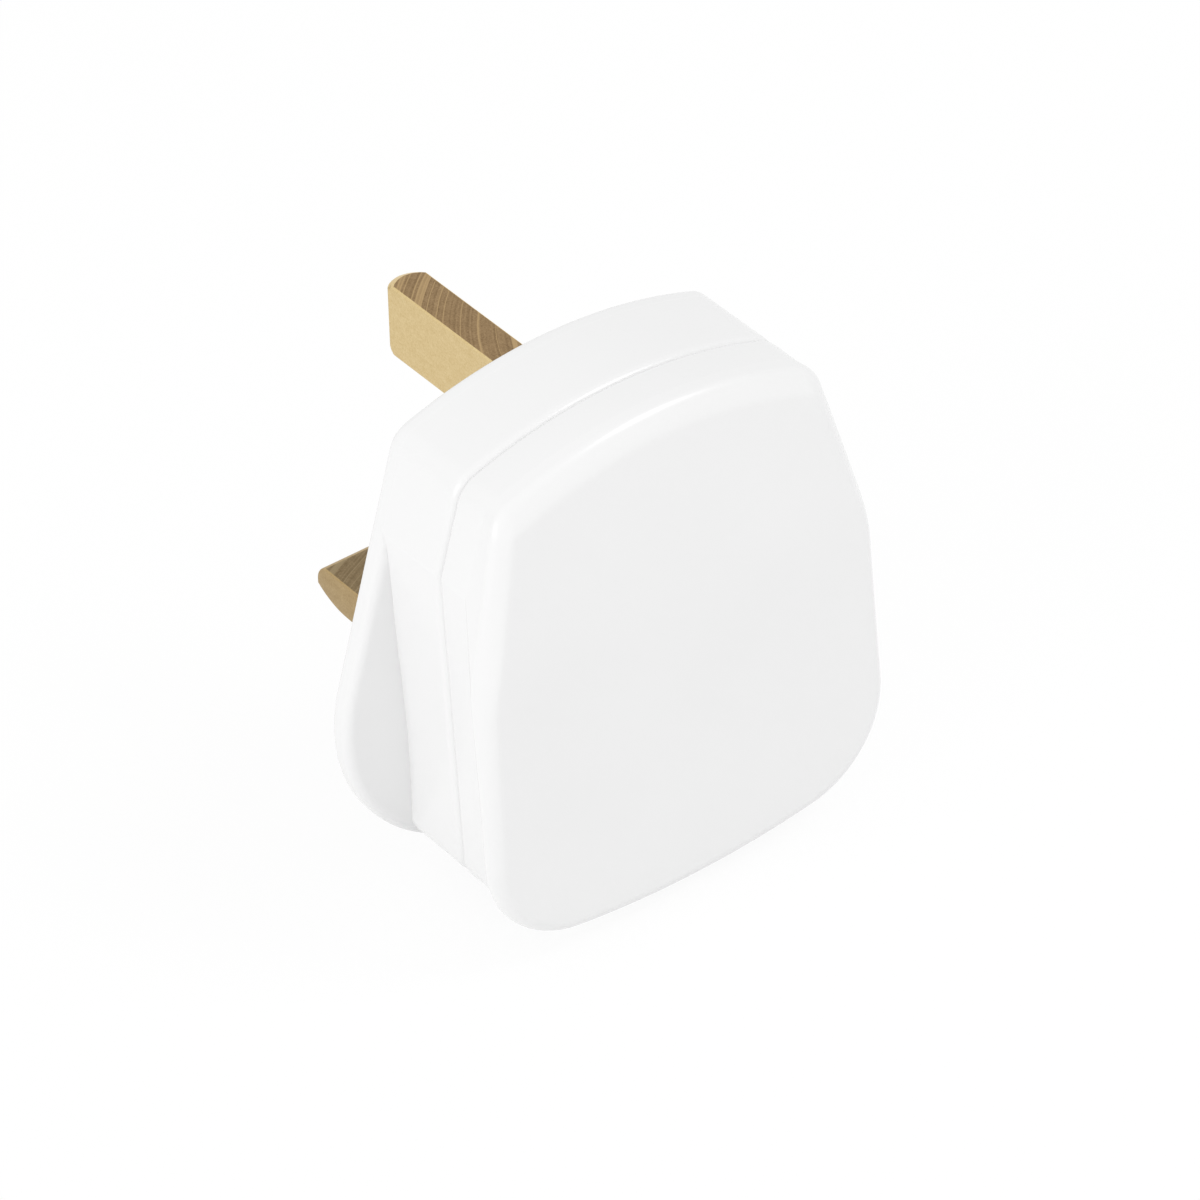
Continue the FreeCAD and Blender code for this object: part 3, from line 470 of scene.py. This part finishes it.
def earth_section(left, half):
    """Heights of a section that lies this far before the tip, how far bevel and toe set the nose back at
    each height, and what the soft edges take off its half width there. The bevel is a straight line, and
    toe and edges are quarter rounds."""
    top = min(half, half - BEVEL_DROP + left * BEVEL_DROP / BEVEL_RUN)
    low = half - round_off(TOE_RADIUS - left, TOE_RADIUS)
    edge = BLADE_EDGE * (1 - np.cos(np.linspace(0, math.pi / 2, EDGE_POINTS)))
    toe_start, bevel_start = half - TOE_RADIUS, half - BEVEL_DROP
    on_toe = np.linspace(low - BLADE_EDGE, min(toe_start, low - 2 * BLADE_EDGE), TOE_POINTS + 1)[1:]
    on_face = [share * (low if share < 0 else top) for share in FACE_SHARES]
    below_bevel = min(bevel_start, top - 1.1 * BLADE_EDGE)
    height = np.concatenate([edge - low, -on_toe, on_face, [below_bevel], top - edge[::-1]])
    bevel = BEVEL_RUN / BEVEL_DROP * np.clip(height - bevel_start, 0, BEVEL_DROP)
    toe = round_off(-height - toe_start, TOE_RADIUS)
    soft = round_off(BLADE_EDGE - np.minimum(top - height, height + low), BLADE_EDGE)
    return height, bevel + toe, soft


def earth_pin_skin():
    """Blade with a bowed nose, a bevel along the top of the nose and a round toe below it: at each height
    the nose lies back by what the bevel or the toe takes. Inside the case the skin is wide."""
    length, wide, half = EARTH_LENGTH - SKIN, EARTH_HALF_WIDTH - SKIN, EARTH_HALF_HEIGHT - SKIN
    rings = [slab(0, EARTH_RISE, y, EARTH_CLEAR, EARTH_CLEAR, CLEAR_EDGE, SECTION_STEPS) for y in EARTH_FOOT]
    for y in np.append(BLADE_STATIONS, nose_stations(length, NOSE_BULGE, *EARTH_NOSE)):
        height, back, soft = earth_section(length - TIP_GAP - y, half)
        width = blunt(y + back, length, wide)
        width = np.maximum(width - np.minimum(soft, MOST_SOFT * width), TIP_GAP)
        x, z = np.concatenate([width, -width[::-1]]), np.concatenate([height, height[::-1]])
        ring = np.stack([x, np.full(len(x), y), EARTH_RISE + z], 1)
        rings.append(np.roll(ring, -SECTION_STEPS, axis=0))
    return carried("earth_pin_skin", rings)


def pole_pin_skin(name, side):
    """Blade whose nose bows in on two circles, a short one above and a long one below, to a rounded tip. A
    small groove parts it from its sleeve, and behind the groove the skin is wide."""
    centre, half = side * POLE_X, POLE_HALF_HEIGHT
    y = np.concatenate([
        SLEEVE_LENGTH + POLE_STATIONS,
        np.linspace(POLE_LENGTH - POLE_LOW_NOSE, POLE_LENGTH - POLE_TOP_NOSE, LOW_NOSE_STEPS),
        nose_stations(POLE_LENGTH, POLE_TOP_NOSE, *POLE_NOSE),
        [POLE_LENGTH - TIP_GAP],
    ])
    half_x = np.full(len(y), POLE_HALF_WIDTH - SKIN)
    top = half - SKIN - bow(y, POLE_LENGTH, POLE_TOP_NOSE, half - POLE_TIP)
    low = half - SKIN - bow(y, POLE_LENGTH, POLE_LOW_NOSE, half - POLE_TIP)
    for reach in (half_x, top, low):
        reach[0] -= GROOVE
    rings = [slab(centre, 0, at, POLE_CLEAR_X, POLE_CLEAR_Z, CLEAR_EDGE) for at in POLE_FOOT]
    rings += [slab(centre, (up - down) / 2, at, wide, (up + down) / 2, BLADE_EDGE * min(1, up + down))
              for at, wide, up, down in zip(y, half_x, top, low)]
    return carried(name, rings)


def sleeve_skin(name, side):
    """Rounded bar round a pole pin's neck with a small round at its end."""
    half_x, half_z = POLE_HALF_WIDTH - SLEEVE_SKIN, POLE_HALF_HEIGHT - SLEEVE_SKIN
    rows = [(SLEEVE_LOW[1] - END_CLEAR, 0.0)]
    rows += [(SLEEVE_LENGTH - before, inset) for before, inset in SLEEVE_ROUND]
    rings = [slab(side * POLE_X, 0, y, half_x - inset, half_z - inset, SLEEVE_EDGE) for y, inset in rows]
    return carried(name, rings)


def cover_screw_skin():
    """Turned screw: circles along Y, clear of the shank and then close round the head with its round rim."""
    head_y, head_radius = SCREW_HIGH[1], SCREW_HIGH[0]
    rows = [(SCREW_LOW[1] - END_CLEAR, SHANK_CLEAR), (head_y - HEAD_HEIGHT, SHANK_CLEAR)]
    rows += [(head_y - before, head_radius - inset) for before, inset in HEAD_ROUND]
    turn = np.linspace(0, 2 * math.pi, SCREW_SEGMENTS, endpoint=False)
    circle = np.stack([np.cos(turn), np.zeros(SCREW_SEGMENTS), np.sin(turn)], 1)
    rings = [SCREW_AXIS + radius * circle + np.array([0, y, 0]) for y, radius in rows]
    return carried("cover_screw_skin", rings)


def mark_sawn(piece):
    """Attribute on the faces: 1 where they face up or down and were sawn, 0 on the drawn faces."""
    mesh = piece.data
    normals = np.empty(len(mesh.polygons) * 3, np.float32)
    mesh.polygons.foreach_get("normal", normals)
    sawn = (np.abs(normals.reshape(-1, 3)[:, 2]) > SAWN_FACING).astype(np.float32)
    mesh.attributes.new("sawn", "FLOAT", "FACE").data.foreach_set("value", sawn)


# Shader node groups: effects that several finishes share

class Tree:
    """Small helper that adds nodes to a tree and links them."""

    def __init__(self, tree):
        self.tree = tree

    def node(self, kind, inputs=None, **settings):
        made = self.tree.nodes.new(kind)
        for name, setting in settings.items():
            setattr(made, name, setting)
        for name, given in (inputs or {}).items():
            self.feed(made.inputs[name], given)
        return made

    def feed(self, socket, given):
        if isinstance(given, bpy.types.NodeSocket):
            self.tree.links.new(given, socket)
        else:
            socket.default_value = given

    def math(self, operation, *given):
        made = self.node("ShaderNodeMath", operation=operation)
        for socket, one in zip(made.inputs, given):
            self.feed(socket, one)
        return made.outputs[0]

    def vector(self, operation, *given):
        made = self.node("ShaderNodeVectorMath", operation=operation)
        for socket, one in zip(made.inputs, given):
            self.feed(socket, one)
        return made.outputs["Value" if operation == "DISTANCE" else "Vector"]

    def weighted(self, first, share, second):
        """Share of the first value plus the rest of the second."""
        rest = self.math("SUBTRACT", 1.0, share) if isinstance(share, bpy.types.NodeSocket) else 1.0 - share
        return self.math("ADD", self.math("MULTIPLY", first, share), self.math("MULTIPLY", second, rest))

    def spread(self, given, low, high, to_low, to_high):
        return self.node("ShaderNodeMapRange", {
            "Value": given, "From Min": low, "From Max": high, "To Min": to_low, "To Max": to_high,
        }).outputs["Result"]

    def noise(self, place, scale, detail, roughness):
        return self.node("ShaderNodeTexNoise", {
            "Vector": place, "Scale": scale, "Detail": detail, "Roughness": roughness,
        }).outputs["Fac"]

    def noise_along(self, distance, scale, detail, roughness):
        return self.node("ShaderNodeTexNoise", noise_dimensions="1D", inputs={
            "W": distance, "Scale": scale, "Detail": detail, "Roughness": roughness,
        }).outputs["Fac"]

    def mix(self, factor, first, second):
        made = self.node("ShaderNodeMix", data_type="RGBA")
        for socket, one in ((made.inputs[0], factor), (made.inputs[6], first), (made.inputs[7], second)):
            self.feed(socket, one)
        return made.outputs[2]

    def mix_shaders(self, factor, first, second, surface):
        """Two shaders mixed by a factor into the surface of an output."""
        made = self.node("ShaderNodeMixShader", {0: factor})
        for shader, socket in ((first.outputs[0], made.inputs[1]), (second.outputs[0], made.inputs[2])):
            self.tree.links.new(shader, socket)
        self.tree.links.new(made.outputs[0], surface)


VECTOR, FLOAT = "NodeSocketVector", "NodeSocketFloat"


def new_group(name, inputs, outputs):
    """Node group with named value or vector inputs and value outputs."""
    group = bpy.data.node_groups.new(name, "ShaderNodeTree")
    for label, kind in inputs.items():
        group.interface.new_socket(label, in_out="INPUT", socket_type=kind)
    for label in outputs:
        group.interface.new_socket(label, in_out="OUTPUT", socket_type=FLOAT)
    tree = Tree(group)
    return tree, tree.node("NodeGroupInput").outputs, tree.node("NodeGroupOutput").inputs


def make_moulded_grain():
    """Skin of a moulding: fine spark texture on a slow flow wave, as a height and as a mask of slow flow."""
    inputs = {"Place": VECTOR, "Fineness": FLOAT}
    tree, given, wanted = new_group("moulded_grain", inputs, ["Height", "Flow"])
    fine = tree.noise(given["Place"], scale=given["Fineness"], detail=3.0, roughness=0.6)
    slow = tree.noise(given["Place"], scale=90.0, detail=2.0, roughness=0.45)
    tree.feed(wanted["Height"], tree.weighted(fine, 0.35, slow))
    tree.feed(wanted["Flow"], tree.spread(slow, 0.3, 0.7, 0.0, 1.0))
    return tree.tree


def make_drawn_grain():
    """Drawn or rolled metal: noise pulled out along one axis into streaks, over a fine pitting."""
    inputs = {"Place": VECTOR, "Stretch": VECTOR, "Pits": FLOAT}
    tree, given, wanted = new_group("drawn_grain", inputs, ["Streaks", "Pitting"])
    pulled = tree.vector("MULTIPLY", given["Place"], given["Stretch"])
    streaks = tree.noise(pulled, scale=1.0, detail=4.0, roughness=0.65)
    pits = tree.noise(given["Place"], scale=given["Pits"], detail=2.0, roughness=0.7)
    tree.feed(wanted["Streaks"], tree.spread(streaks, 0.28, 0.72, 0.0, 1.0))
    tree.feed(wanted["Pitting"], tree.spread(pits, 0.3, 0.7, 0.0, 1.0))
    return tree.tree


# How far the saw's arcs wander, and how near to its middle value the slow noise makes them bright
SAW_WANDER, BRIGHT_BAND = 0.16, 0.035


def make_saw_arcs():
    """Saw marks: noise along the distance from the saw's centre gives arcs of uneven pitch, and an arc is
    bright where a slower noise passes through its middle value."""
    inputs = {"Place": VECTOR, "Centre": VECTOR}
    tree, given, wanted = new_group("saw_arcs", inputs, ["Arcs", "Bright"])
    wander = tree.noise(given["Place"], scale=500.0, detail=3.0, roughness=0.6)
    distance = tree.vector("DISTANCE", given["Place"], given["Centre"])
    bent = tree.math("ADD", distance, tree.math("MULTIPLY", wander, SAW_WANDER * MM))
    arcs = tree.noise_along(bent, scale=3200.0, detail=2.0, roughness=0.6)
    slow = tree.noise_along(bent, scale=620.0, detail=1.0, roughness=0.5)
    off_middle = tree.math("ABSOLUTE", tree.math("SUBTRACT", slow, 0.5))
    tree.feed(wanted["Arcs"], tree.spread(arcs, 0.3, 0.7, 0.0, 1.0))
    tree.feed(wanted["Bright"], tree.spread(off_middle, 0.0, BRIGHT_BAND, 1.0, 0.0))
    return tree.tree


MOULDED, DRAWN, SAWN = make_moulded_grain(), make_drawn_grain(), make_saw_arcs()


# Finishes

# Depths of the relief, and the streaks and pits of drawn brass bar
GRAIN_DEPTH, SAW_DEPTH = 0.02, 0.03
BAR_STRETCH, BAR_PITS = (1500.0, 700.0, 1500.0), 5200.0


def colour(red, green, blue):
    """Linear colour of an sRGB colour from 0 to 255."""
    share = np.array([red, green, blue]) / 255
    linear = np.where(share <= 0.04045, share / 12.92, ((share + 0.055) / 1.055) ** 2.4)
    return (*linear.tolist(), 1.0)


def new_finish(name):
    """Material with a principled shader, and the object's own coordinates."""
    material = bpy.data.materials.new(name)
    material.use_nodes = True
    material.node_tree.nodes.clear()
    tree = Tree(material.node_tree)
    shader = tree.node("ShaderNodeBsdfPrincipled")
    out = tree.node("ShaderNodeOutputMaterial")
    material.node_tree.links.new(shader.outputs["BSDF"], out.inputs["Surface"])
    place = tree.node("ShaderNodeTexCoord").outputs["Object"]
    return material, tree, shader.inputs, place


def group_node(tree, group, inputs):
    """Outputs of a node group placed in a tree with these inputs."""
    return tree.node("ShaderNodeGroup", inputs, node_tree=group).outputs


def bump(tree, shader, height, strength, depth):
    """Relief of a height from 0 to 1, as deep as given in millimetres."""
    made = tree.node("ShaderNodeBump", {"Height": height, "Strength": strength, "Distance": depth * MM})
    tree.feed(shader["Normal"], made.outputs["Normal"])


def plastic(name, pale, deep, fineness, roughness, strength):
    """Moulded plastic: colour and gloss drift with the flow, and a fine spark texture breaks the shine."""
    material, tree, shader, place = new_finish(name)
    grain = group_node(tree, MOULDED, {"Place": place, "Fineness": fineness})
    tree.feed(shader["Base Color"], tree.mix(grain["Flow"], pale, deep))
    tree.feed(shader["Roughness"], tree.spread(grain["Flow"], 0.0, 1.0, *roughness))
    bump(tree, shader, grain["Height"], strength, GRAIN_DEPTH)
    return material


def metal(name, pale, deep, stretch, pits, roughness, strength):
    """Metal with streaks along its working direction, which change its colour and its gloss."""
    material, tree, shader, place = new_finish(name)
    grain = group_node(tree, DRAWN, {"Place": place, "Stretch": stretch, "Pits": pits})
    blend = tree.weighted(grain["Streaks"], 0.6, grain["Pitting"])
    tree.feed(shader["Base Color"], tree.mix(blend, pale, deep))
    tree.feed(shader["Roughness"], tree.spread(blend, 0.0, 1.0, *roughness))
    shader["Metallic"].default_value = 1.0
    bump(tree, shader, blend, strength, GRAIN_DEPTH)
    return material


def sawn_brass(name, saw_centre, gold, brown, bright):
    """Brass bar: satin gold where it was drawn, and brown and matt with arcs of the saw where it was cut."""
    material, tree, shader, place = new_finish(name)
    grain = group_node(tree, DRAWN, {"Place": place, "Stretch": BAR_STRETCH, "Pits": BAR_PITS})
    saw = group_node(tree, SAWN, {"Place": place, "Centre": saw_centre})
    sawn = tree.node("ShaderNodeAttribute", attribute_name="sawn").outputs["Fac"]
    speckle = tree.weighted(grain["Streaks"], 0.4, grain["Pitting"])
    rows = tree.weighted(saw["Arcs"], 0.3, speckle)
    cut_colour = tree.mix(saw["Bright"], tree.mix(rows, *brown), bright)
    tree.feed(shader["Base Color"], tree.mix(sawn, tree.mix(speckle, *gold), cut_colour))
    satin = tree.spread(speckle, 0.0, 1.0, 0.36, 0.5)
    matt = tree.spread(rows, 0.0, 1.0, 0.6, 0.78)
    tree.feed(shader["Roughness"], tree.weighted(matt, sawn, satin))
    tree.feed(shader["Metallic"], tree.spread(sawn, 0.0, 1.0, 1.0, 0.6))
    relief = tree.math("ADD", tree.math("MULTIPLY", speckle, 0.3), tree.math("MULTIPLY", sawn, rows))
    bump(tree, shader, relief, 0.5, SAW_DEPTH)
    return material


WHITE = plastic("white_moulding", colour(246, 246, 246), colour(245, 245, 245),
                fineness=2600.0, roughness=(0.2, 0.25), strength=0.05)
GREY = plastic("grey_moulding", colour(206, 207, 208), colour(188, 190, 192),
               fineness=2600.0, roughness=(0.42, 0.55), strength=0.1)
BLACK = plastic("black_sleeve", colour(27, 27, 29), colour(38, 38, 40),
                fineness=3200.0, roughness=(0.36, 0.5), strength=0.12)
FIBRE = plastic("red_fibre", colour(146, 74, 52), colour(110, 52, 38),
                fineness=1500.0, roughness=(0.6, 0.8), strength=0.3)
GLAZED = plastic("fuse_ceramic", colour(236, 232, 222), colour(222, 216, 203),
                 fineness=1800.0, roughness=(0.12, 0.24), strength=0.05)
EARTH_BRASS = sawn_brass("earth_brass", saw_centre=(0.0198, -0.0033, 0.0262),
                         gold=(colour(229, 207, 158), colour(208, 183, 130)),
                         brown=(colour(176, 148, 108), colour(122, 97, 64)), bright=colour(188, 160, 116))
# Painted shade: the pole pins are the same brass as the earth pin, but their gold and brown are darker to
# stand in for the shade and dimmer reflections on their sides
SHADED_POLE_BRASS = sawn_brass("pole_brass_painted_shade", saw_centre=(0.010, -0.030, 0.002),
                        gold=(colour(189, 165, 121), colour(165, 140, 98)),
                        brown=(colour(160, 140, 106), colour(124, 105, 74)), bright=colour(164, 146, 112))
BRASS = metal("turned_brass", colour(226, 200, 142), colour(196, 166, 106),
              stretch=(700.0, 240.0, 700.0), pits=5200.0, roughness=(0.26, 0.42), strength=0.2)
STEEL = metal("zinc_plate", colour(214, 216, 219), colour(182, 186, 192),
              stretch=(1300.0, 1300.0, 220.0), pits=4200.0, roughness=(0.22, 0.42), strength=0.25)
BRONZE = metal("spring_bronze", colour(208, 160, 112), colour(176, 126, 82),
               stretch=(260.0, 1500.0, 1500.0), pits=4200.0, roughness=(0.24, 0.4), strength=0.15)
NICKEL = metal("nickel_cap", colour(222, 218, 208), colour(196, 191, 180),
               stretch=(900.0, 900.0, 200.0), pits=4200.0, roughness=(0.16, 0.32), strength=0.15)
SILVER = metal("fuse_wire", colour(214, 206, 192), colour(178, 160, 134),
               stretch=(2000.0, 2000.0, 300.0), pits=6000.0, roughness=(0.25, 0.4), strength=0.15)


# Pieces: the ones that show get a skin, and the ones inside keep their solids and get a finish

dressed("base", base_skin(), WHITE)
dressed("cover", cover_skin(), WHITE)
mark_sawn(dressed("earth_pin", earth_pin_skin(), EARTH_BRASS, earth_nose_fill()))
for pole, direction in (("neutral", -1), ("live", 1)):
    pin_skin = pole_pin_skin(f"{pole}_pin_skin", direction)
    mark_sawn(dressed(f"{pole}_pin", pin_skin, SHADED_POLE_BRASS))
    dressed(f"{pole}_pin_sleeve", sleeve_skin(f"{pole}_sleeve_skin", direction), BLACK)
dressed("cover_screw", cover_screw_skin(), STEEL)

KEPT_FINISHES = {
    "cover_screw_washer": FIBRE,
    "cover_nut": BRASS,
    "live_terminal": BRASS,
    "earth_terminal_screw": STEEL,
    "neutral_terminal_screw": STEEL,
    "live_terminal_screw": STEEL,
    "fuse_barrel": GLAZED,
    "fuse_element": SILVER,
    "lower_fuse_cap": NICKEL,
    "upper_fuse_cap": NICKEL,
    "lower_fuse_clip": BRONZE,
    "upper_fuse_clip": BRONZE,
    "cord_grip_bar": GREY,
    "cord_grip_screws": STEEL,
}
for node, finish in KEPT_FINISHES.items():
    for place in nodes[node].material_slots:
        place.material = finish


# Floor, light and camera. Light places and sizes are in metres, and powers in watts.

FLOOR_REACH, FLOOR_TONE, FLOOR_GLOW, FLOOR_WHITE_SHARE = 2500.0, 0.86, 1.02, 0.9
DOME_STRENGTH = 0.755
PURE_WHITE = (1.0, 1.0, 1.0, 1.0)
LIGHT_AIM = np.array([0.0, 0.0, 0.01])

# The camera's place in millimetres, and the directions of its back and its right
CAMERA_PLACE = np.array([-264.9, -356.1, 346.9])
CAMERA_BACK, CAMERA_RIGHT = np.array([-0.477, -0.6283, 0.6145]), np.array([0.7891, -0.6141, -0.0154])
CAMERA_LENS, CAMERA_SENSOR = 181.7, 36.0


def unit(vector):
    """The vector divided by its length."""
    return vector / np.linalg.norm(vector)


def shown_white(tree):
    """1 for rays that show a background: straight from the camera, in a gloss or through glass."""
    path = tree.node("ShaderNodeLightPath").outputs
    mirrored = tree.math("MAXIMUM", path["Is Glossy Ray"], path["Is Transmission Ray"])
    return tree.math("MAXIMUM", path["Is Camera Ray"], mirrored)


def make_floor():
    """Pale matt floor at the object's lowest point, almost white where it shows, with a faint shadow."""
    corners = np.array([[-1, -1], [1, -1], [1, 1], [-1, 1]]) * FLOOR_REACH
    points = np.column_stack([corners, np.full(4, cad_box[0].z / MM)])
    floor = make_piece("floor", points, [[0, 1, 2, 3]])
    material = bpy.data.materials.new("pale_floor")
    material.use_nodes = True
    material.node_tree.nodes.clear()
    tree = Tree(material.node_tree)
    matt = tree.node("ShaderNodeBsdfDiffuse", {"Color": (FLOOR_TONE, FLOOR_TONE, FLOOR_TONE, 1.0)})
    glow = tree.node("ShaderNodeEmission", {"Color": PURE_WHITE, "Strength": FLOOR_GLOW})
    white_share = tree.math("MULTIPLY", shown_white(tree), FLOOR_WHITE_SHARE)
    surface = tree.node("ShaderNodeOutputMaterial").inputs["Surface"]
    tree.mix_shaders(white_share, matt, glow, surface)
    floor.data.materials.append(material)


def make_world():
    """White where it shows, and an even, soft dome of light."""
    world = bpy.data.worlds.new("studio")
    bpy.context.scene.world = world
    world.use_nodes = True
    world.node_tree.nodes.clear()
    tree = Tree(world.node_tree)
    shown = tree.node("ShaderNodeBackground", {"Color": PURE_WHITE, "Strength": 1.0})
    dome = tree.node("ShaderNodeBackground", {"Color": PURE_WHITE, "Strength": DOME_STRENGTH})
    surface = tree.node("ShaderNodeOutputWorld").inputs["Surface"]
    tree.mix_shaders(shown_white(tree), dome, shown, surface)


def softbox(name, place, size, power):
    """Square area light that faces the object."""
    lamp = bpy.data.lights.new(name, "AREA")
    lamp.shape = "SQUARE"
    lamp.size = size
    lamp.energy = power
    box = bpy.data.objects.new(name, lamp)
    bpy.context.scene.collection.objects.link(box)
    back = unit(np.array(place) - LIGHT_AIM)
    right = unit(np.cross([0.0, 0.0, 1.0], back))
    set_axes(box, place, right, np.cross(back, right), back)


def set_axes(item, place, right, up, back):
    """Places an item, in metres, by the directions of its own three axes."""
    axes = np.eye(4)
    axes[:3] = np.column_stack([right, up, back, place])
    item.matrix_world = Matrix(axes.tolist())


def make_camera():
    """Camera at the photograph's viewing angle, with its right made square to its back."""
    data = bpy.data.cameras.new("camera")
    data.sensor_width = CAMERA_SENSOR
    data.lens = CAMERA_LENS
    data.clip_start, data.clip_end = 0.01, 20.0
    camera = bpy.data.objects.new("camera", data)
    bpy.context.scene.collection.objects.link(camera)
    back = unit(CAMERA_BACK)
    right = unit(CAMERA_RIGHT - back * (CAMERA_RIGHT @ back))
    set_axes(camera, CAMERA_PLACE * MM, right, np.cross(back, right), back)
    bpy.context.scene.camera = camera


make_floor()
make_world()
softbox("left_box", (-0.72, -0.12, 0.24), size=0.5, power=1.6)
softbox("front_box", (0.42, -0.7, 0.2), size=0.5, power=0.18)
softbox("top_box", (0.3, -0.28, 0.54), size=0.2, power=0.75)
make_camera()
bpy.context.scene.view_settings.view_transform = "Standard"
